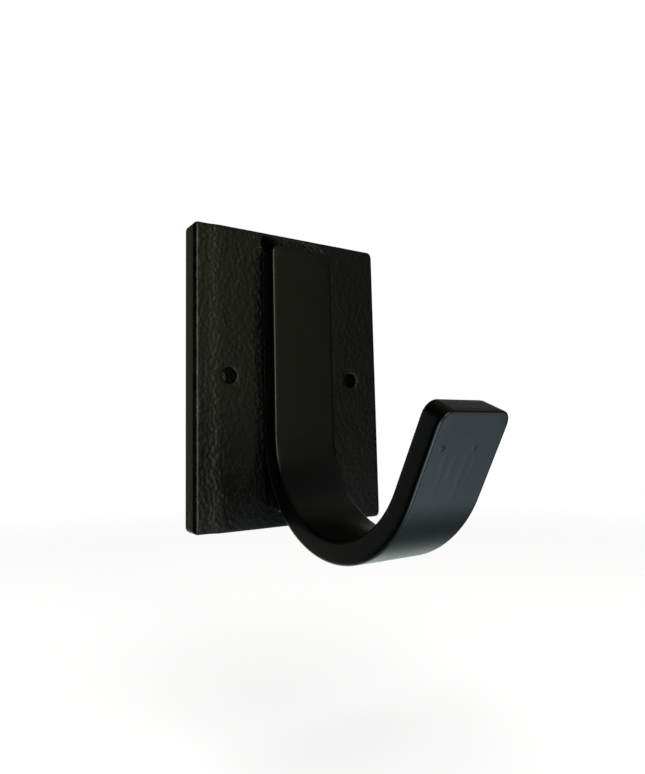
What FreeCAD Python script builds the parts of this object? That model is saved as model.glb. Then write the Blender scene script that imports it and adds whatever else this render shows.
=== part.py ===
import FreeCAD, Part
import math
import os

import Sketcher
from FreeCAD import Vector

# Wall hook: a flat steel bar bent into a J and welded to a flat steel back plate.
# Frame: origin at the centre of the plate's wall face, +X along the plate's width,
# +Z up; the hook stands out from the wall towards -Y. Lengths are in millimetres.

TOLERANCE = 1e-4
LEAST_CUT = 1.0  # cubic millimetres that a working cut takes away

SIZES = {
    # Back plate: a length of 3 in wide flat bar with softened corners and arrises.
    "plate_width": 76.2,
    "plate_height": 101.6,
    "plate_thickness": 7.9,
    "plate_corner_radius": 2.0,
    "plate_edge_radius": 1.2,
    # Two plain screw holes in a level row at mid-height.
    "screw_spacing": 50.8,
    "screw_hole_diameter": 5.2,
    "screw_rim_radius": 0.45,
    # Hook: a 1 in wide flat bar. The bend turns it from straight down to out and up.
    "bar_width": 25.4,
    "bar_thickness": 6.8,
    "bar_edge_radius": 1.3,
    "bar_corner_radius": 3.0,
    "bar_top_height": 45.0,
    "bend_start_drop": 20.0,
    "bend_inner_radius": 30.0,
    "bend_angle": 151.5,
    "tip_length": 25.4,
    # Weld bead on the bar's top end, filling up to the plate's top edge.
    "top_weld_length": 25.0,
    "top_weld_rise": 5.2,
    "top_weld_reach": 5.4,
    "top_weld_root": 2.0,
    "top_weld_face_radius": 9.0,
    # Weld bead in the wedge between the back of the bend and the plate.
    "lower_weld_length": 22.6,
    "lower_weld_root_drop": 31.0,
    "lower_weld_root_reach": 3.7,
    "lower_weld_plate_toe_drop": 42.5,
    "lower_weld_bar_toe_drop": 40.5,
    "lower_weld_toe_reach": 8.2,
    "lower_weld_face_radius": 10.0,
}


def make_sheet(document):
    """Puts each driving dimension in a cell of its own, with its name as alias."""
    sheet = document.addObject("Spreadsheet::Sheet", "sizes")
    for row, (name, value) in enumerate(SIZES.items(), start=1):
        sheet.set(f"A{row}", name)
        sheet.set(f"B{row}", str(value))
        sheet.setAlias(f"B{row}", name)
    document.recompute()


def make_sketch(body, name, role, curves):
    """Sketch of the given curves on one of the body's own origin planes."""
    plane = next(f for f in body.Origin.OriginFeatures if f.Role == role)
    sketch = body.newObject("Sketcher::SketchObject", name)
    sketch.AttachmentSupport = (plane, [""])
    sketch.MapMode = "FlatFace"
    sketch.addGeometry(curves, False)
    return sketch


def of_sheet(formula):
    """The formula with each of its cell names addressed through the sheet."""
    return " ".join(word if word in "+-" else f"sizes.{word}" for word in formula.split())


def constrain(sketch, *arguments):
    """Adds a constraint that carries no driving size."""
    sketch.addConstraint(Sketcher.Constraint(*arguments))


def drive(sketch, name, *arguments, formula=None):
    """Adds a dimension bound to the sheet: to the cell of its own name, or a formula."""
    expression = formula or f"sizes.{name}"
    value = sketch.evalExpression(expression)
    if arguments[0] == "Angle":
        value = math.radians(value)
    index = sketch.addConstraint(Sketcher.Constraint(*arguments, value))
    sketch.renameConstraint(index, name)
    sketch.setExpression(f"Constraints.{name}", expression)


def pad(body, name, sketch, alias, both_sides=False):
    """Pads a fully constrained sketch by a length from the sheet."""
    body.Document.recompute()
    if not sketch.FullyConstrained:
        raise RuntimeError(f"{sketch.Name} is not fully constrained")
    feature = body.newObject("PartDesign::Pad", name)
    feature.Profile = sketch
    feature.SideType = "Symmetric" if both_sides else "One side"
    feature.setExpression("Length", f"sizes.{alias}")
    body.Document.recompute()
    return feature


def fillet(body, name, base, wanted, alias):
    """Rounds the base's edges for which wanted(edge) is true, and all tangent to them."""
    edges = [f"Edge{i}" for i, edge in enumerate(base.Shape.Edges, start=1) if wanted(edge)]
    if not edges:
        raise RuntimeError(f"{name} found no edge to round")
    feature = body.newObject("PartDesign::Fillet", name)
    feature.Base = (base, edges)
    feature.setExpression("Radius", f"sizes.{alias}")
    body.Document.recompute()
    return feature


def is_straight_along(edge, direction):
    """True for a straight edge parallel to the direction."""
    if not isinstance(edge.Curve, Part.Line):
        return False
    return edge.Curve.Direction.cross(direction).Length < TOLERANCE


def make_back_plate(document):
    """Flat plate with rounded corners and arrises and two plain screw holes."""
    body = document.addObject("PartDesign::Body", "back_plate")
    half_width = SIZES["plate_width"] / 2
    half_height = SIZES["plate_height"] / 2
    low_left = Vector(-half_width, -half_height, 0)
    low_right = Vector(half_width, -half_height, 0)
    high_right = Vector(half_width, half_height, 0)
    high_left = Vector(-half_width, half_height, 0)
    outline = make_sketch(body, "plate_outline", "XZ_Plane", [
        Part.LineSegment(low_left, low_right),
        Part.LineSegment(low_right, high_right),
        Part.LineSegment(high_right, high_left),
        Part.LineSegment(high_left, low_left),
    ])
    for side in range(4):
        constrain(outline, "Coincident", side, 2, (side + 1) % 4, 1)
        constrain(outline, "Vertical" if side % 2 else "Horizontal", side)
    constrain(outline, "Symmetric", 0, 1, 2, 1, -1, 1)
    drive(outline, "plate_width", "DistanceX", 0, 1, 0, 2)
    drive(outline, "plate_height", "DistanceY", 1, 1, 1, 2)
    slab = pad(body, "plate_slab", outline, "plate_thickness")

    rounded = fillet(
        body, "plate_corners", slab,
        lambda edge: is_straight_along(edge, Vector(0, 1, 0)), "plate_corner_radius")
    softened = fillet(
        body, "plate_arrises", rounded,
        lambda edge: is_straight_along(edge, Vector(0, 0, 1))
        and edge.Length > SIZES["plate_height"] / 2
        and abs(edge.Curve.Location.x) > half_width - TOLERANCE, "plate_edge_radius")

    holes = make_screw_holes(body, softened)
    fillet(
        body, "screw_hole_rims", holes,
        lambda edge: isinstance(edge.Curve, Part.Circle)
        and abs(edge.Curve.Radius - SIZES["screw_hole_diameter"] / 2) < TOLERANCE,
        "screw_rim_radius")
    return body


def make_screw_holes(body, plate):
    """Drills the two holes through the plate from the wall face."""
    half_spacing = SIZES["screw_spacing"] / 2
    radius = SIZES["screw_hole_diameter"] / 2
    normal = Vector(0, 0, 1)
    centres = make_sketch(body, "screw_centres", "XZ_Plane", [
        Part.Circle(Vector(-half_spacing, 0, 0), normal, radius),
        Part.Circle(Vector(half_spacing, 0, 0), normal, radius),
    ])
    constrain(centres, "PointOnObject", 0, 3, -1)
    constrain(centres, "Symmetric", 0, 3, 1, 3, -1, 1)
    constrain(centres, "Equal", 0, 1)
    drive(centres, "screw_spacing", "DistanceX", 0, 3, 1, 3)
    drive(centres, "screw_hole_diameter", "Diameter", 0)
    body.Document.recompute()

    holes = body.newObject("PartDesign::Hole", "screw_holes")
    holes.Profile = centres
    holes.DepthType = "ThroughAll"
    holes.Reversed = True
    holes.setExpression("Diameter", "sizes.screw_hole_diameter")
    body.Document.recompute()
    if holes.Shape.Volume > plate.Shape.Volume - LEAST_CUT:
        raise RuntimeError("the screw holes cut nothing")
    return holes


def make_hook_bar(document):
    """Flat bar with a straight shank, one long bend and a straight tip."""
    body = document.addObject("PartDesign::Body", "hook_bar")
    thickness = SIZES["bar_thickness"]
    inner_radius = SIZES["bend_inner_radius"]
    outer_radius = inner_radius + thickness
    back = -SIZES["plate_thickness"]
    front = back - thickness
    top = SIZES["bar_top_height"]
    start = -SIZES["bend_start_drop"]
    turn = math.radians(SIZES["bend_angle"])

    # In the sketch X is the row's Y and Y is the row's Z.
    centre = Vector(back - outer_radius, start, 0)
    radial = Vector(math.cos(turn), -math.sin(turn), 0)
    along = Vector(-math.sin(turn), -math.cos(turn), 0) * SIZES["tip_length"]
    outer_end = centre + radial * outer_radius
    inner_end = centre + radial * inner_radius

    def bend(radius):
        return Part.ArcOfCircle(Part.Circle(centre, Vector(0, 0, 1), radius), -turn, 0)

    side = make_sketch(body, "bar_side", "YZ_Plane", [
        Part.LineSegment(outer_end + along, outer_end),
        bend(outer_radius),
        Part.LineSegment(Vector(back, start, 0), Vector(back, top, 0)),
        Part.LineSegment(Vector(back, top, 0), Vector(front, top, 0)),
        Part.LineSegment(Vector(front, top, 0), Vector(front, start, 0)),
        bend(inner_radius),
        Part.LineSegment(inner_end, inner_end + along),
        Part.LineSegment(inner_end + along, outer_end + along),
    ])
    outer_tip, outer_bend, back_line, top_end, front_line, inner_bend, inner_tip, tip_end = range(8)
    constrain(side, "Tangent", outer_tip, 2, outer_bend, 1)
    constrain(side, "Tangent", outer_bend, 2, back_line, 1)
    constrain(side, "Coincident", back_line, 2, top_end, 1)
    constrain(side, "Coincident", top_end, 2, front_line, 1)
    constrain(side, "Tangent", front_line, 2, inner_bend, 2)
    constrain(side, "Tangent", inner_bend, 1, inner_tip, 1)
    constrain(side, "Coincident", inner_tip, 2, tip_end, 1)
    constrain(side, "Coincident", tip_end, 2, outer_tip, 1)
    constrain(side, "Coincident", outer_bend, 3, inner_bend, 3)
    constrain(side, "Vertical", back_line)
    constrain(side, "Vertical", front_line)
    constrain(side, "Parallel", outer_tip, inner_tip)
    constrain(side, "Horizontal", top_end)
    constrain(side, "Perpendicular", inner_tip, tip_end)
    drive(side, "plate_thickness", "DistanceX", top_end, 1, -1, 1)
    drive(side, "bar_thickness", "DistanceX", top_end, 2, top_end, 1)
    drive(side, "bar_top_height", "DistanceY", -1, 1, top_end, 1)
    drive(side, "bend_start_drop", "DistanceY", inner_bend, 3, -1, 1)
    drive(side, "bend_inner_radius", "Radius", inner_bend)
    drive(side, "bend_angle", "Angle", inner_bend)
    drive(side, "tip_length", "Distance", inner_tip)
    strip = pad(body, "bar_strip", side, "bar_width", both_sides=True)

    rounded = fillet(
        body, "bar_corners", strip,
        lambda edge: isinstance(edge.Curve, Part.Line)
        and not is_straight_along(edge, Vector(1, 0, 0))
        and abs(edge.Length - thickness) < TOLERANCE, "bar_corner_radius")
    fillet(
        body, "bar_arrises", rounded,
        lambda edge: is_straight_along(edge, Vector(0, 0, 1))
        and edge.Length > SIZES["bar_top_height"], "bar_edge_radius")
    return body


def make_weld(document, name, corners, above, bar):
    """Weld bead against the plate's face, its outline cut back to fit the bar.

    The section's corners are pairs of formulas, the reach out from the wall and the
    distance above or below mid-height, in the order plate root, plate toe, bar toe and
    bar root. The bead's outer face is an arc that bulges between the two toes."""
    document.recompute()
    bead = document.addObject("PartDesign::Body", f"{name}_bead")
    sheet = document.getObject("sizes")
    sign = 1 if above else -1
    plate_root, plate_toe, bar_toe, bar_root = [
        Vector(-sheet.evalExpression(reach), sign * sheet.evalExpression(height), 0)
        for reach, height in corners
    ]
    radius = SIZES[f"{name}_face_radius"]
    half_chord = (bar_toe - plate_toe) / 2
    bulge = radius - math.sqrt(radius ** 2 - half_chord.Length ** 2)
    outwards = Vector(-abs(half_chord.y), sign * abs(half_chord.x), 0).normalize()
    crown = plate_toe + half_chord + outwards * bulge
    section = make_sketch(bead, f"{name}_section", "YZ_Plane", [
        Part.LineSegment(bar_toe, bar_root),
        Part.LineSegment(bar_root, plate_root),
        Part.LineSegment(plate_root, plate_toe),
        Part.Arc(plate_toe, crown, bar_toe),
    ])
    bar_line, root_line, plate_line, face = range(4)
    at_plate, at_bar = (1, 2) if above else (2, 1)
    constrain(section, "Coincident", bar_line, 2, root_line, 1)
    constrain(section, "Coincident", root_line, 2, plate_line, 1)
    constrain(section, "Coincident", plate_line, 2, face, at_plate)
    constrain(section, "Coincident", face, at_bar, bar_line, 1)
    drive(section, f"{name}_face_radius", "Radius", face)
    ends = {
        "plate_root": (plate_line, 1),
        "plate_toe": (plate_line, 2),
        "bar_toe": (bar_line, 1),
        "bar_root": (bar_line, 2),
    }
    for (end, point), (reach, height) in zip(ends.items(), corners):
        drive(section, f"{end}_reach", "DistanceX", *point, -1, 1, formula=of_sheet(reach))
        across = (-1, 1, *point) if above else (*point, -1, 1)
        drive(section, f"{end}_height", "DistanceY", *across, formula=of_sheet(height))
    pad(bead, f"{name}_fill", section, f"{name}_length", both_sides=True)

    weld = document.addObject("Part::Cut", name)
    weld.Base = bead
    weld.Tool = bar
    document.recompute()
    if weld.Shape.Volume > bead.Shape.Volume - LEAST_CUT:
        raise RuntimeError(f"{name} is not trimmed by the bar")
    return weld


def make_top_weld(document, bar):
    """Bead that fills from the bar's top end to just under the plate's top edge."""
    front = "plate_thickness + top_weld_reach"
    root = "bar_top_height - top_weld_root"
    return make_weld(document, "top_weld", [
        ("plate_thickness", root),
        ("plate_thickness", "bar_top_height + top_weld_rise"),
        (front, "bar_top_height"),
        (front, root),
    ], True, bar)


def make_lower_weld(document, bar):
    """Bead in the wedge where the back of the bend leaves the plate."""
    return make_weld(document, "lower_weld", [
        ("plate_thickness", "lower_weld_root_drop"),
        ("plate_thickness", "lower_weld_plate_toe_drop"),
        ("plate_thickness + lower_weld_toe_reach", "lower_weld_bar_toe_drop"),
        ("plate_thickness + lower_weld_root_reach", "lower_weld_root_drop"),
    ], False, bar)


def check(document, nodes):
    """Stops the build if any object failed or any piece isn't one valid solid."""
    for item in document.Objects:
        if {"Invalid", "Error"} & set(item.State):
            raise RuntimeError(f"{item.Name} failed: {item.State}")
    for node in nodes:
        shape = node.Shape
        if shape.isNull() or not shape.isValid() or len(shape.Solids) != 1:
            raise RuntimeError(f"{node.Label} is not one valid solid")


def main():
    document = FreeCAD.newDocument("wall_hook")
    make_sheet(document)
    plate = make_back_plate(document)
    bar = make_hook_bar(document)
    nodes = [plate, bar, make_top_weld(document, bar), make_lower_weld(document, bar)]
    document.recompute()
    check(document, nodes)
    os.makedirs("parts", exist_ok=True)
    for node in nodes:
        node.Shape.exportStep(f"parts/{node.Label}.step")
        print(node.Label, round(node.Shape.Volume, 1), "mm3")


main()
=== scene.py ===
import math

import bpy
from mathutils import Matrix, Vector, geometry, noise


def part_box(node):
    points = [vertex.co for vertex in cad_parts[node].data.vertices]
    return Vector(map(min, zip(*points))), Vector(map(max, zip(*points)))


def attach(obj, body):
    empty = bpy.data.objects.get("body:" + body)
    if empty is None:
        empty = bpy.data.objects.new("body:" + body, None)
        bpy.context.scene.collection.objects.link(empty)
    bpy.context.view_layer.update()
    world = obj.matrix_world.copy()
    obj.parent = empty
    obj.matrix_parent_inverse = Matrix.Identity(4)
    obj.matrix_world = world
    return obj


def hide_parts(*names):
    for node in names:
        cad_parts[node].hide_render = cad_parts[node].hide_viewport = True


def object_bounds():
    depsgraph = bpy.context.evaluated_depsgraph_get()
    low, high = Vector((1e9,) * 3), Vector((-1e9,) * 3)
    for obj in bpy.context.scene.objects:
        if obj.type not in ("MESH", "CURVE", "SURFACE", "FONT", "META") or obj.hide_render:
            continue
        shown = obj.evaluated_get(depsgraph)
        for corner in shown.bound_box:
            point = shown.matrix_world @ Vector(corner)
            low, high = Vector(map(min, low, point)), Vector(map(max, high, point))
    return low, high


# A wall hook in satin black: a flat bar bent into a J and welded to a thick plate.
# Everything is in metres, in the frame of the CAD model: +Z up, wall at Y = 0, the
# hook standing out towards -Y. The plate and the bar are both made as flat slabs
# with rounded arrises, and the bar's slab is then laid along the hook's path.

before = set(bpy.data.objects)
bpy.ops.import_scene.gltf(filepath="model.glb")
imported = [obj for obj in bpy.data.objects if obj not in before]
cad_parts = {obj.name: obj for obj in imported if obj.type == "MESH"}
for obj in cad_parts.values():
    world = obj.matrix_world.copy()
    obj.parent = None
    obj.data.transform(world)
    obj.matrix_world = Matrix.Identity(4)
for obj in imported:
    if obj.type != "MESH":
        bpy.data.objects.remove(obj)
cad_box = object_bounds()

MM = 0.001
plate_low, plate_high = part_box("back_plate")
bar_low, bar_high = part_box("hook_bar")

# ---------------------------------------------------------------- sizes

# Corner radii are given for the front and then the back of a slab, each time from the
# corner at high u and high v and then anticlockwise.

PLATE_WIDTH = plate_high.x - plate_low.x
PLATE_HEIGHT = plate_high.z - plate_low.z
PLATE_FACE = plate_low.y
PLATE_THICKNESS = plate_high.y - plate_low.y
PLATE_CORNERS = ((2.4 * MM, 1.6 * MM, 1.6 * MM, 2.4 * MM), (2.0 * MM,) * 4)
PLATE_ROLLED_ARRIS = 1.5 * MM
PLATE_CUT_ARRIS = 0.4 * MM
PLATE_BACK_ARRIS = 1.3 * MM
HOLE_OFFSET = 25.4 * MM
HOLE_RADIUS = 2.6 * MM
HOLE_RIM = 0.45 * MM

BAR_WIDTH = bar_high.x - bar_low.x
BAR_THICKNESS = 6.8 * MM
BAR_CORNERS = ((4.5 * MM, 3.0 * MM, 4.0 * MM, 6.0 * MM),
               (4.5 * MM, 3.0 * MM, 4.0 * MM, 4.2 * MM))
BAR_ROLLED_ARRIS = 1.3 * MM
BAR_CUT_ARRIS = 0.5 * MM
BAR_TOP = bar_high.z
BEND_START = -20.0 * MM
BEND_OUTER = BEND_START - bar_low.z
BEND_INNER = BEND_OUTER - BAR_THICKNESS
BEND_MIDDLE = BEND_INNER + BAR_THICKNESS / 2
BEND_ANGLE = math.radians(151.5)
BEND_CENTRE_Y = PLATE_FACE - BEND_OUTER
TIP_LENGTH = 25.4 * MM
SHANK_LENGTH = BAR_TOP - BEND_START
BEND_LENGTH = BEND_ANGLE * BEND_MIDDLE
BAR_LENGTH = SHANK_LENGTH + BEND_LENGTH + TIP_LENGTH

# Spacing of the mesh points on the front and the back of each slab.
PLATE_GRAINS = (0.38 * MM, 2.5 * MM)
BAR_GRAINS = (1.0 * MM, 0.4 * MM)
CORNER_STEPS = 8
ARRIS_STEPS = 6
WALL_STEPS = 4
HOLE_STEPS = 40


# ---------------------------------------------------------------- slabs

def outline_loop(width, length, corners, spacing):
    """Points round a rounded rectangle with their outward normals, anticlockwise.

    corners gives the four corner radii, from the one at high u and high v. The number
    of points depends on the sides alone, so that two such loops can be matched."""
    loop = []
    signs = ((1, 1), (-1, 1), (-1, -1), (1, -1))
    centres = [Vector((sign[0] * (width / 2 - radius), sign[1] * (length / 2 - radius)))
               for sign, radius in zip(signs, corners)]
    for quarter, (centre, radius) in enumerate(zip(centres, corners)):
        for step in range(CORNER_STEPS + 1):
            angle = (quarter + step / CORNER_STEPS) * math.pi / 2
            normal = Vector((math.cos(angle), math.sin(angle)))
            loop.append((centre + normal * radius, normal))
        here = loop[-1][0]
        following = (quarter + 1) % 4
        there = centres[following] + normal * corners[following]
        steps = round((length if quarter % 2 else width) / spacing)
        loop += [(here.lerp(there, step / steps), normal) for step in range(1, steps)]
    return loop


def hole_loop(centre, radius):
    """Points round a hole, clockwise, with normals that point out of the metal."""
    loop = []
    for step in range(HOLE_STEPS):
        angle = -step / HOLE_STEPS * math.tau
        radial = Vector((math.cos(angle), math.sin(angle)))
        loop.append((centre + radial * radius, -radial))
    return loop


def triangular_grid(width, length, spacing):
    """Evenly spaced points over a rectangle, in staggered rows."""
    row_gap = spacing * math.sqrt(3) / 2
    rows = int(length / 2 / row_gap)
    columns = int(width / 2 / spacing)
    for row in range(-rows, rows + 1):
        shift = 0.5 * (row % 2)
        for column in range(-columns, columns + 1):
            yield Vector(((column + shift) * spacing, row * row_gap))


def is_clear(point, width, length, border, corner, holes, hole_gap):
    """True if the point is in the flat part of a face, clear of every edge and hole."""
    beside = abs(point.x) - width / 2
    beyond = abs(point.y) - length / 2
    if max(beside, beyond) > -border or min(beside, beyond) > -corner:
        return False
    return all((point - centre).length > radius + hole_gap for centre, radius in holes)


def wall_rows():
    """The rows of vertices from the front face, over both arrises, to the back face.

    A row is a place and a value: an angle on an arris, a share of the way on the wall."""
    turns = [step / ARRIS_STEPS * math.pi / 2 for step in range(ARRIS_STEPS + 1)]
    rows = [("front arris", angle) for angle in turns]
    rows += [("wall", step / WALL_STEPS) for step in range(1, WALL_STEPS)]
    rows += [("back arris", angle) for angle in reversed(turns)]
    return rows


def wall_vertex(place, value, front_point, back_point, normal, radii, thickness):
    """Vertex on one row of a wall whose arrises are rounded to the two radii."""
    front, back = radii
    if place == "front arris":
        at = front_point - normal * front * (1 - math.sin(value))
        depth = front * (1 - math.cos(value))
    elif place == "wall":
        at = front_point.lerp(back_point, value)
        depth = front + value * (thickness - front - back)
    else:
        at = back_point - normal * back * (1 - math.sin(value))
        depth = thickness - back * (1 - math.cos(value))
    return Vector((at.x, at.y, depth))


def add_wall(vertices, faces, front_loop, back_loop, arris, thickness):
    """Adds the wall between two loops, and returns the rings that border the two faces."""
    rows = wall_rows()
    first = len(vertices)
    for place, value in rows:
        for (front_point, normal), (back_point, _) in zip(front_loop, back_loop):
            vertices.append(wall_vertex(place, value, front_point, back_point, normal,
                                        arris(normal), thickness))
    count = len(front_loop)
    for row in range(len(rows) - 1):
        here = first + row * count
        for i in range(count):
            j = (i + 1) % count
            faces.append((here + i, here + count + i, here + count + j, here + j))
    last = first + (len(rows) - 1) * count
    return range(first, first + count), range(last, last + count)


def add_face(vertices, faces, depth, points, rings, reverse):
    """Fills a flat face with triangles between its rings and the points inside it.

    The first ring is the outline and the others are the rims of holes. A triangle with
    all its corners on one rim would cover the hole, so it is left out."""
    index = [vertex for ring in rings for vertex in ring]
    for point in points:
        index.append(len(vertices))
        vertices.append(Vector((point.x, point.y, depth)))
    flat = [vertices[i].to_2d() for i in index]
    border = [list(range(len(rings[0])))]
    _, _, triangles, origins, _, _ = geometry.delaunay_2d_cdt(flat, [], border, 1, 1e-9)
    rims = [set(ring) for ring in rings[1:]]
    for triangle in triangles:
        corners = [index[origins[i][0]] for i in triangle]
        if not any(rim.issuperset(corners) for rim in rims):
            faces.append(corners[::-1] if reverse else corners)


def slab(size, corners, arris, grains, holes=(), rim=0.0):
    """Flat slab with rounded arrises, as (vertices, faces).

    size is its width, length and thickness. A vertex is (u across, v along, depth below
    the front face). corners holds the four corner radii at the front, then at the back.
    arris gives the front and back rounding radii for an outline normal; grains are the
    point spacings on the front and back; holes are (centre, radius); rim is the
    rounding of the holes' edges."""
    width, length, thickness = size
    vertices, faces = [], []
    outlines = [outline_loop(width, length, radii, min(grains)) for radii in corners]
    walls = [add_wall(vertices, faces, *outlines, arris, thickness)]
    for centre, radius in holes:
        bore = hole_loop(centre, radius)
        walls.append(add_wall(vertices, faces, bore, bore, lambda normal: (rim, rim), thickness))
    edge_radii = (arris(Vector((1, 0))), arris(Vector((0, 1))))
    for side, (depth, grain) in enumerate(zip((0, thickness), grains)):
        border = max(radii[side] for radii in edge_radii) + grain / 2
        corner = max(corners[side])
        points = [point for point in triangular_grid(width, length, grain)
                  if is_clear(point, width, length, border, corner, holes, rim + grain / 2)]
        add_face(vertices, faces, depth, points, [wall[side] for wall in walls], side == 1)
    return vertices, faces


def make_object(name, vertices, faces, material):
    """Mesh object with smooth faces and one material."""
    mesh = bpy.data.meshes.new(name)
    mesh.from_pydata([tuple(v) for v in vertices], [], [tuple(f) for f in faces])
    mesh.validate()
    mesh.polygons.foreach_set("use_smooth", [True] * len(mesh.polygons))
    mesh.materials.append(material)
    mesh.update()
    piece = bpy.data.objects.new(name, mesh)
    bpy.context.scene.collection.objects.link(piece)
    return piece


def place(piece, node, slot):
    """Stands the piece in for a CAD node. The hook is one body, so it rides on the root."""
    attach(piece, "root")
    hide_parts(node)


# ---------------------------------------------------------------- materials

def new_material(name):
    """Node material, with its nodes, its links and its shader."""
    material = bpy.data.materials.new(name)
    material.use_nodes = True
    nodes = material.node_tree.nodes
    return material, nodes, material.node_tree.links, nodes["Principled BSDF"]


def noise_node(nodes, links, coordinates, scale, detail, stretch=(1, 1, 1)):
    """Noise texture in object space; scale is in cycles per metre."""
    mapping = nodes.new("ShaderNodeMapping")
    mapping.inputs["Scale"].default_value = stretch
    links.new(coordinates.outputs["Object"], mapping.inputs["Vector"])
    texture = nodes.new("ShaderNodeTexNoise")
    texture.inputs["Scale"].default_value = scale
    texture.inputs["Detail"].default_value = detail
    links.new(mapping.outputs["Vector"], texture.inputs["Vector"])
    return texture


def spread(nodes, links, texture, low, high):
    """Maps a noise texture's middle range to low..high."""
    ramp = nodes.new("ShaderNodeMapRange")
    ramp.inputs["From Min"].default_value = 0.3
    ramp.inputs["From Max"].default_value = 0.7
    ramp.inputs["To Min"].default_value = low
    ramp.inputs["To Max"].default_value = high
    links.new(texture.outputs["Fac"], ramp.inputs["Value"])
    return ramp.outputs["Result"]


def powder_coat(name, colour, roughness, grain_scale, grain_height, stretch=(1, 1, 1)):
    """Black coat: near-black body, satin sheen that varies, and a fine surface grain."""
    material, nodes, links, shader = new_material(name)
    shader.inputs["IOR"].default_value = 1.5
    coordinates = nodes.new("ShaderNodeTexCoord")
    patches = noise_node(nodes, links, coordinates, 90, 3, stretch)
    links.new(spread(nodes, links, patches, *roughness), shader.inputs["Roughness"])

    grain = noise_node(nodes, links, coordinates, grain_scale, 0.6, stretch)
    lighter = [1.6 * channel for channel in colour]
    tint = nodes.new("ShaderNodeMix")
    tint.data_type = "RGBA"
    tint.inputs["A"].default_value = (*colour, 1)
    tint.inputs["B"].default_value = (*lighter, 1)
    links.new(spread(nodes, links, grain, 0, 1), tint.inputs["Factor"])
    links.new(tint.outputs["Result"], shader.inputs["Base Color"])

    bump = nodes.new("ShaderNodeBump")
    bump.inputs["Strength"].default_value = 1.0
    bump.inputs["Distance"].default_value = grain_height
    links.new(grain.outputs["Fac"], bump.inputs["Height"])
    links.new(bump.outputs["Normal"], shader.inputs["Normal"])
    return material


def plate_coat():
    """Pebbled coat on the rolled face of the plate."""
    return powder_coat("plate_coat", (0.0010, 0.0010, 0.0009), (0.27, 0.33), 800, 0.15 * MM,
                       stretch=(1, 1, 0.9))


def bar_coat():
    """Smooth satin coat on the bar."""
    return powder_coat("bar_coat", (0.0010, 0.0010, 0.0010), (0.26, 0.30), 1000, 0.015 * MM)


def weld_coat():
    """Glossier coat, where it has flowed out over the beads."""
    return powder_coat("weld_coat", (0.0010, 0.0010, 0.0010), (0.18, 0.24), 1500, 0.006 * MM)


# ---------------------------------------------------------------- back plate

def plate_relief(point):
    """Height of the rolled skin under the coat: shallow dimples and a broad swell, both
    drawn out along Z, and one low step that runs down the left of the face."""
    x, y, z = (c / MM for c in point)
    dimples = noise.noise(Vector((x / 1.5 + 31, y / 1.5, z / 2.2)))
    swell = noise.noise(Vector((x / 9 + 7, y / 9, z / 22)))
    wander = 0.6 * noise.noise(Vector((3, 5, z / 12))) + 0.3 * noise.noise(Vector((3, 9, z / 3)))
    step_place = -31 - wander
    step_width = 1.8
    step = math.tanh((x - step_place) / step_width)
    return (0.016 * dimples + 0.025 * swell + 0.12 * step) * MM


def displace(piece, relief):
    """Moves each vertex along its normal by the relief there."""
    mesh = piece.data
    shifts = [vertex.normal * relief(vertex.co) for vertex in mesh.vertices]
    for vertex, shift in zip(mesh.vertices, shifts):
        vertex.co += shift
    mesh.update()


def make_back_plate():
    """Plate with sharper cut arrises at top and bottom, rounder rolled ones at the
    sides, and two plain holes with a smooth margin round them."""
    centres = [Vector((-HOLE_OFFSET, 0)), Vector((HOLE_OFFSET, 0))]
    holes = [(centre, HOLE_RADIUS) for centre in centres]
    smooth_margin = 1.5 * MM
    off_face_share = 0.4

    def arris(normal):
        rolled = normal.x * normal.x
        front = PLATE_CUT_ARRIS + (PLATE_ROLLED_ARRIS - PLATE_CUT_ARRIS) * rolled
        return front, PLATE_BACK_ARRIS

    def relief(point):
        at = Vector((point.x, point.z))
        gap = min((at - centre).length for centre in centres) - HOLE_RADIUS
        share = 1 if point.y < PLATE_FACE + MM / 2 else off_face_share
        return plate_relief(point) * share * min(1, max(0, gap / smooth_margin))

    size = (PLATE_WIDTH, PLATE_HEIGHT, PLATE_THICKNESS)
    flat, faces = slab(size, PLATE_CORNERS, arris, PLATE_GRAINS, holes, HOLE_RIM)
    vertices = [Vector((u, PLATE_FACE + depth, v)) for u, v, depth in flat]
    piece = make_object("back_plate_coated", vertices, faces, plate_coat())
    displace(piece, relief)
    place(piece, "back_plate", "plate_coat")


# ---------------------------------------------------------------- hook bar

# Faults in the coat near the tip, in mm: a nib's place across the bar, distance from the
# tip's end and height, and a sag's place across the bar and where it starts and ends.
NIBS = ((-8.6, 9.9, 0.24), (2.7, 10.0, 0.14))
SAGS = ((-6.2, 8, 24), (-3.0, 11, 20), (1.6, 10, 26), (4.4, 12, 19))
NIB_RADIUS = 0.55
SAG_RADIUS = 0.6


def bar_frame(s):
    """Inner-face point and its outward normal, at a distance s from the bar's top along
    its middle line."""
    if s <= SHANK_LENGTH:
        return Vector((0, PLATE_FACE - BAR_THICKNESS, BAR_TOP - s)), Vector((0, -1, 0))
    angle = min((s - SHANK_LENGTH) / BEND_MIDDLE, BEND_ANGLE)
    normal = Vector((0, -math.cos(angle), math.sin(angle)))
    onward = Vector((0, -math.sin(angle), -math.cos(angle)))
    beyond = max(0, s - SHANK_LENGTH - BEND_LENGTH)
    centre = Vector((0, BEND_CENTRE_Y, BEND_START))
    return centre - normal * BEND_INNER + onward * beyond, normal


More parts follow.
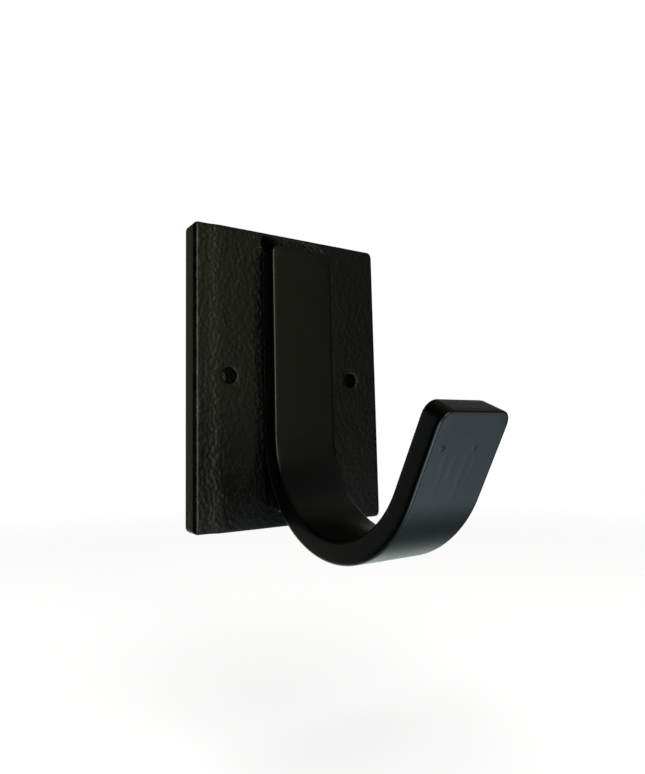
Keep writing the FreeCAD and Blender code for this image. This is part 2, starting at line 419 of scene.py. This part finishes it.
def coat_relief(u, from_tip):
    """Height of the coat's faults on the outside of the bar: a faint ripple all over,
    two nibs near the tip, and sags that run down from them. Everything in mm."""
    height = 0.008 * noise.noise(Vector((u / 1.8, from_tip / 3, 7)))
    for nib_u, nib_from_tip, nib_height in NIBS:
        away = math.hypot(u - nib_u, from_tip - nib_from_tip)
        height += nib_height * math.exp(-(away / NIB_RADIUS) ** 2)
    for sag_u, start, end in SAGS:
        wander = 0.8 * noise.noise(Vector((sag_u, from_tip / 5, 0)))
        fade = max(0.0, 1 - ((2 * from_tip - start - end) / (end - start)) ** 2)
        height += 0.032 * fade * math.exp(-((u - sag_u - wander) / SAG_RADIUS) ** 2)
    return height


def make_hook_bar():
    """Bar laid along the J, with rounder rolled arrises down its sides than at its cut
    ends, and with the coat's faults on its outside."""

    def arris(normal):
        radius = BAR_CUT_ARRIS + (BAR_ROLLED_ARRIS - BAR_CUT_ARRIS) * normal.x * normal.x
        return radius, radius

    size = (BAR_WIDTH, BAR_LENGTH, BAR_THICKNESS)
    flat, faces = slab(size, BAR_CORNERS, arris, BAR_GRAINS)
    vertices = []
    for u, v, depth in flat:
        inner, out = bar_frame(BAR_LENGTH / 2 - v)
        if depth > BAR_THICKNESS - MM / 10:
            depth += coat_relief(u / MM, (v + BAR_LENGTH / 2) / MM) * MM
        vertices.append(inner - out * depth + Vector((u, 0, 0)))
    piece = make_object("hook_bar_coated", vertices, faces, bar_coat())
    place(piece, "hook_bar", "bar_coat")


# ---------------------------------------------------------------- welds

def bead(name, stations, profile_steps, material):
    """Closed bead, sized in mm. Each station is a root point, the directions of its two
    legs, and a function that gives the bead's radius for a share of the turn from the
    first leg to the second. The stations run the way a screw would go when it turns from
    the first leg to the second, so that the faces point outwards.

    The profile runs a few degrees past both legs, and it is closed by a point sunk below
    the root, so that the bead bites into both pieces."""
    sunk = 0.3
    overrun = 5
    vertices, faces = [], []
    ring = profile_steps + 2
    for root, first_leg, second_leg, radius in stations:
        vertices.append((root - (first_leg + second_leg) * sunk) * MM)
        for step in range(profile_steps + 1):
            share = step / profile_steps
            angle = math.radians(-overrun + (90 + 2 * overrun) * share)
            across = first_leg * math.cos(angle) + second_leg * math.sin(angle)
            vertices.append((root + across * radius(share)) * MM)
    for station in range(len(stations) - 1):
        here = station * ring
        for i in range(ring):
            j = (i + 1) % ring
            faces.append((here + i, here + j, here + ring + j, here + ring + i))
    faces.append(tuple(reversed(range(ring))))
    last = (len(stations) - 1) * ring
    faces.append(tuple(range(last, last + ring)))
    return make_object(name, vertices, faces, material)


def quarter_round(share):
    """Height of a quarter circle at a share of its width: 0 at 0, and 1 from 1 on."""
    return math.sqrt(1 - (1 - max(0.0, min(1.0, share))) ** 2)


def puddles(along, share, pitch, depth):
    """Height of the overlapping crescents that a bead is laid down in, in mm."""
    bow = 2.2
    overlap = 0.85
    front = along - bow * math.sin(math.pi * share)
    nearest = round(front / pitch)
    height = 0.0
    for number in range(nearest - 1, nearest + 2):
        jitter = 0.9 * noise.noise(Vector((number * 1.7, 6.1, 0)))
        swell = 1 + 0.5 * noise.noise(Vector((number * 2.3, 1.4, 0)))
        offset = (front - number * pitch - jitter) / (overlap * pitch)
        height = max(height, swell * math.sqrt(max(0.0, 1 - offset * offset)))
    return depth * height


def make_top_weld(material):
    """Lumpy bead on the bar's top end, sized in mm. It starts blunt at the left as a thin
    toe on the plate, climbs the bar's end, and stops part of the way round the bar's
    right corner."""
    start = -14.1
    start_length = 0.7
    toe_length = 1.1
    climb_length = 6.0
    end_length = 2.6
    thinnest = 0.01
    corner = BAR_CORNERS[0][0] / MM
    straight = BAR_WIDTH / MM / 2 - corner
    flat_length = straight - start
    length = flat_length + math.radians(80) * corner
    root_y = PLATE_FACE / MM + 0.15
    out = Vector((0, -1, 0))
    count = 150

    def root_and_up(along):
        """Root of the bead and its leg up the plate, on the flat and round the corner."""
        if along < flat_length:
            return Vector((start + along, root_y, BAR_TOP / MM)), Vector((0, 0, 1))
        angle = (along - flat_length) / corner
        up = Vector((math.sin(angle), 0, math.cos(angle)))
        return Vector((straight, root_y, BAR_TOP / MM - corner)) + up * corner, up

    def radius_at(along):
        """The profile at a distance along the bead, as bead() takes it."""
        close = quarter_round((length - along) / end_length)
        opening = quarter_round(along / start_length)
        climb = math.sin(min(1, max(0, along - toe_length) / climb_length) * math.pi / 2)
        plate_leg = (3.4 + 1.4 * opening + 0.9 * min(1, along / 6)) * close + thinnest
        bar_leg = (0.1 + 0.35 * opening + 4.9 * climb ** 1.2) * close + thinnest
        fullness = 1 + 1.5 * max(0, 1 - along / 6)
        lumpiness = min(1, bar_leg / 5) * min(1, (length - along) / 5)

        def radius(share):
            angle = share * math.pi / 2
            plate_part = (math.cos(angle) / plate_leg) ** fullness
            bar_part = (math.sin(angle) / bar_leg) ** fullness
            chord = (plate_part + bar_part) ** (-1 / fullness)
            rough = 0.35 * noise.noise(Vector((along / 1.1, share * 5, 4.2)))
            swell = puddles(along, share, 3.6, 0.9) + rough - 0.15
            return chord + swell * lumpiness * (0.25 + 0.75 * math.sin(2 * angle))

        return radius

    stations = []
    for i in range(count + 1):
        along = i / count * length
        stations.append((*root_and_up(along), out, radius_at(along)))
    return bead("top_weld_bead", stations, 32, material)


def make_lower_weld(material):
    """Bead in the wedge between the back of the bend and the plate, sized in mm."""
    half = 11.3
    root_z = -33.0
    leg_length = 8.9
    end_length = 1.5
    lean = math.radians(38)
    plate_leg = Vector((0, 0.12, -1)).normalized()
    bar_leg = Vector((0, -math.sin(lean), -math.cos(lean)))
    count = 90

    def radius_at(along):
        """The profile at a distance from the middle, as bead() takes it."""
        close = 0.7 + 0.3 * quarter_round((half - abs(along)) / end_length)

        def radius(share):
            rough = 0.25 * noise.noise(Vector((along / 1.6, share * 4, 9.1)))
            return (leg_length + puddles(along, share, 3.0, 0.7) + rough) * close

        return radius

    stations = []
    for i in range(count + 1):
        along = half - 2 * half * i / count
        root = Vector((along, PLATE_FACE / MM - 1.0, root_z))
        stations.append((root, plate_leg, bar_leg, radius_at(along)))
    return bead("lower_weld_bead", stations, 20, material)


# ---------------------------------------------------------------- stage

def make_camera():
    """Camera to the left of the hook and a little below its middle, looking slightly up."""
    data = bpy.data.cameras.new("camera")
    data.sensor_width = 36
    data.lens = 28.46
    data.shift_x = 0.042
    data.shift_y = -0.022
    data.clip_start = 0.01
    camera = bpy.data.objects.new("camera", data)
    camera.location = (-118.5 * MM, -187.6 * MM, -20.5 * MM)
    camera.rotation_euler = (math.radians(96.2), math.radians(1.0), math.radians(-32.95))
    bpy.context.scene.collection.objects.link(camera)
    bpy.context.scene.camera = camera


# Tints of the soft lights.
NEUTRAL = (0.96, 1.00, 0.84)
COOL = (0.74, 0.92, 1.00)
WARM = (1.00, 0.95, 0.57)

# Soft lights round the hook: azimuth, elevation, half-width in degrees, radiance, tint.
# Most of their places and strengths come from a least-squares fit to the reflections
# on the real coat, and were rounded afterwards. A few were added or changed.
GLOWS = (
    # Straight in front: a tall narrow softbox, for the bright lines along the arrises.
    (-4, -9, 8, 5.0, NEUTRAL),
    (-4, 6, 8, 5.0, NEUTRAL),
    (-4, 21, 8, 5.0, NEUTRAL),
    # Low down in front, one to the left and one to the right: bright and cool.
    (-25, -45, 16, 4.8, COOL),
    (50, -45, 16, 1.7, COOL),
    # In front and to the right: dim.
    (15, -12, 10, 0.68, NEUTRAL),
    (24, -11, 8, 0.35, NEUTRAL),
    (45, -10, 12, 0.15, COOL),
    (65, -28, 16, 0.40, COOL),
    (30, 4, 10, 0.19, WARM),
    (15, 20, 10, 0.56, WARM),
    (30, 20, 10, 0.12, NEUTRAL),
    (60, 26, 14, 0.21, NEUTRAL),
    (60, 45, 16, 0.07, COOL),
    # To the right, and behind to the right.
    (88, 42, 8, 0.40, NEUTRAL),
    (135, 15, 18, 0.60, NEUTRAL),
    (134, -28, 16, 0.53, COOL),
    (157, -30, 20, 1.5, NEUTRAL),
    # Behind to the left: dim.
    (-130, 14, 20, 0.18, COOL),
    (-158, 14, 20, 0.14, WARM),
    (-158, -8, 20, 0.08, WARM),
    (-158, -30, 20, 0.25, COOL),
    # Overhead and below: dim.
    (0, 80, 28, 0.08, WARM),
    (110, 62, 18, 0.09, NEUTRAL),
    (120, -75, 24, 0.38, COOL),
)


def direction(azimuth, elevation):
    """Unit vector; azimuth 0 points out from the wall, 90 to the right."""
    a, e = math.radians(azimuth), math.radians(elevation)
    return Vector((math.sin(a) * math.cos(e), -math.cos(a) * math.cos(e), math.sin(e)))


def glow_colour(nodes, links, coordinates, towards, width, radiance, tint):
    """Colour of one soft light, which falls off from its middle as a bell curve."""
    dot = nodes.new("ShaderNodeVectorMath")
    dot.operation = "DOT_PRODUCT"
    dot.inputs[1].default_value = towards
    links.new(coordinates.outputs["Generated"], dot.inputs[0])
    sharpness = 2 / math.radians(width) ** 2
    fall = nodes.new("ShaderNodeMath")
    fall.operation = "MULTIPLY_ADD"
    fall.inputs[1].default_value = sharpness
    fall.inputs[2].default_value = -sharpness
    links.new(dot.outputs["Value"], fall.inputs[0])
    bell = nodes.new("ShaderNodeMath")
    bell.operation = "EXPONENT"
    links.new(fall.outputs[0], bell.inputs[0])
    colour = nodes.new("ShaderNodeVectorMath")
    colour.operation = "SCALE"
    colour.inputs[0].default_value = [radiance * c for c in tint]
    links.new(bell.outputs[0], colour.inputs["Scale"])
    return colour.outputs["Vector"]


def make_world():
    """White to the camera; to the object, a dark room with a few soft lights."""
    world = bpy.data.worlds.new("studio")
    bpy.context.scene.world = world
    world.use_nodes = True
    nodes, links = world.node_tree.nodes, world.node_tree.links
    nodes.clear()
    coordinates = nodes.new("ShaderNodeTexCoord")
    darkness = nodes.new("ShaderNodeRGB")
    darkness.outputs[0].default_value = (0, 0, 0, 1)
    total = darkness.outputs[0]
    for azimuth, elevation, *glow in GLOWS:
        add = nodes.new("ShaderNodeVectorMath")
        add.operation = "ADD"
        links.new(total, add.inputs[0])
        towards = direction(azimuth, elevation)
        links.new(glow_colour(nodes, links, coordinates, towards, *glow), add.inputs[1])
        total = add.outputs["Vector"]
    room = nodes.new("ShaderNodeBackground")
    links.new(total, room.inputs["Color"])
    white = nodes.new("ShaderNodeBackground")
    white.inputs["Color"].default_value = (1, 1, 1, 1)
    path = nodes.new("ShaderNodeLightPath")
    mix = nodes.new("ShaderNodeMixShader")
    links.new(path.outputs["Is Camera Ray"], mix.inputs["Fac"])
    links.new(room.outputs[0], mix.inputs[1])
    links.new(white.outputs[0], mix.inputs[2])
    output = nodes.new("ShaderNodeOutputWorld")
    links.new(mix.outputs[0], output.inputs["Surface"])


def matt_and_clear(name, grey):
    """Matt grey material mixed with a clear one. The share of the clear one is set by
    what is linked to the mix's Fac."""
    material, nodes, links, shader = new_material(name)
    shader.inputs["Base Color"].default_value = (grey, grey, grey, 1)
    shader.inputs["Roughness"].default_value = 0.9
    clear = nodes.new("ShaderNodeBsdfTransparent")
    mix = nodes.new("ShaderNodeMixShader")
    links.new(shader.outputs[0], mix.inputs[1])
    links.new(clear.outputs[0], mix.inputs[2])
    links.new(mix.outputs[0], nodes["Material Output"].inputs["Surface"])
    return material, nodes, links, shader, mix


def floor_material():
    """Pale, faint floor that fades out to the white room at its rim."""
    material, nodes, links, shader, mix = matt_and_clear("pale_floor", 0.86)
    shader.inputs["Specular IOR Level"].default_value = 0.0
    coordinates = nodes.new("ShaderNodeTexCoord")
    away = nodes.new("ShaderNodeVectorMath")
    away.operation = "LENGTH"
    links.new(coordinates.outputs["Object"], away.inputs[0])
    fade = nodes.new("ShaderNodeMapRange")
    fade.interpolation_type = "SMOOTHSTEP"
    fade.inputs["From Min"].default_value = 0.25
    fade.inputs["From Max"].default_value = 0.75
    fade.inputs["To Min"].default_value = 0.6
    links.new(away.outputs["Value"], fade.inputs["Value"])
    links.new(fade.outputs["Result"], mix.inputs["Fac"])
    return material


def make_floor():
    """Square floor below the hook. It takes no part in the light on the object."""
    half = 0.8
    drop = 0.06
    mesh = bpy.data.meshes.new("floor")
    corners = [(-half, -half, 0), (half, -half, 0), (half, half, 0), (-half, half, 0)]
    mesh.from_pydata(corners, [], [(0, 1, 2, 3)])
    mesh.materials.append(floor_material())
    floor = bpy.data.objects.new("floor", mesh)
    floor.location = (0, -0.04, cad_box[0].z - drop)
    floor.visible_glossy = False
    floor.visible_diffuse = False
    bpy.context.scene.collection.objects.link(floor)
    return floor


def make_overhead_light(floor):
    """Soft overhead light that falls on the floor alone."""
    lamp = bpy.data.lights.new("overhead", "AREA")
    lamp.shape = "DISK"
    lamp.size = 1.6
    lamp.energy = 22
    overhead = bpy.data.objects.new("overhead", lamp)
    overhead.location = (-0.2, -0.3, 0.9)
    back_along_beam = overhead.location - floor.location
    overhead.rotation_euler = back_along_beam.to_track_quat("Z", "Y").to_euler()
    overhead.visible_glossy = False
    overhead.visible_camera = False
    bpy.context.scene.collection.objects.link(overhead)
    lit = bpy.data.collections.new("lit_by_overhead")
    lit.objects.link(floor)
    overhead.light_linking.receiver_collection = lit


def make_wall_behind_holes():
    """The two spots of wall that are seen through the screw holes. Their dark grey is
    painted shade, for the wall in the plate's shade there. They are clear from behind."""
    # Dark grey as painted shade: it stands for the wall lying in the plate's shade behind the
    # holes.
    material, nodes, links, _, mix = matt_and_clear("painted_shade_wall", 0.12)
    side = nodes.new("ShaderNodeNewGeometry")
    links.new(side.outputs["Backfacing"], mix.inputs["Fac"])
    rim = hole_loop(Vector((0, 0)), HOLE_RADIUS + HOLE_RIM)
    corners = [(at.x, 0, at.y) for at, _ in reversed(rim)]
    for name, x in (("wall_spot_left", -HOLE_OFFSET), ("wall_spot_right", HOLE_OFFSET)):
        mesh = bpy.data.meshes.new(name)
        mesh.from_pydata(corners, [], [range(len(corners))])
        mesh.materials.append(material)
        spot = bpy.data.objects.new(name, mesh)
        spot.location = (x, plate_high.y + 0.1 * MM, 0)
        bpy.context.scene.collection.objects.link(spot)


# ---------------------------------------------------------------- build

make_back_plate()
make_hook_bar()
shared_weld_coat = weld_coat()
place(make_top_weld(shared_weld_coat), "top_weld", "weld_coat")
place(make_lower_weld(shared_weld_coat), "lower_weld", "weld_coat")
make_world()
make_overhead_light(make_floor())
make_wall_behind_holes()
make_camera()
bpy.context.scene.view_settings.view_transform = "Standard"
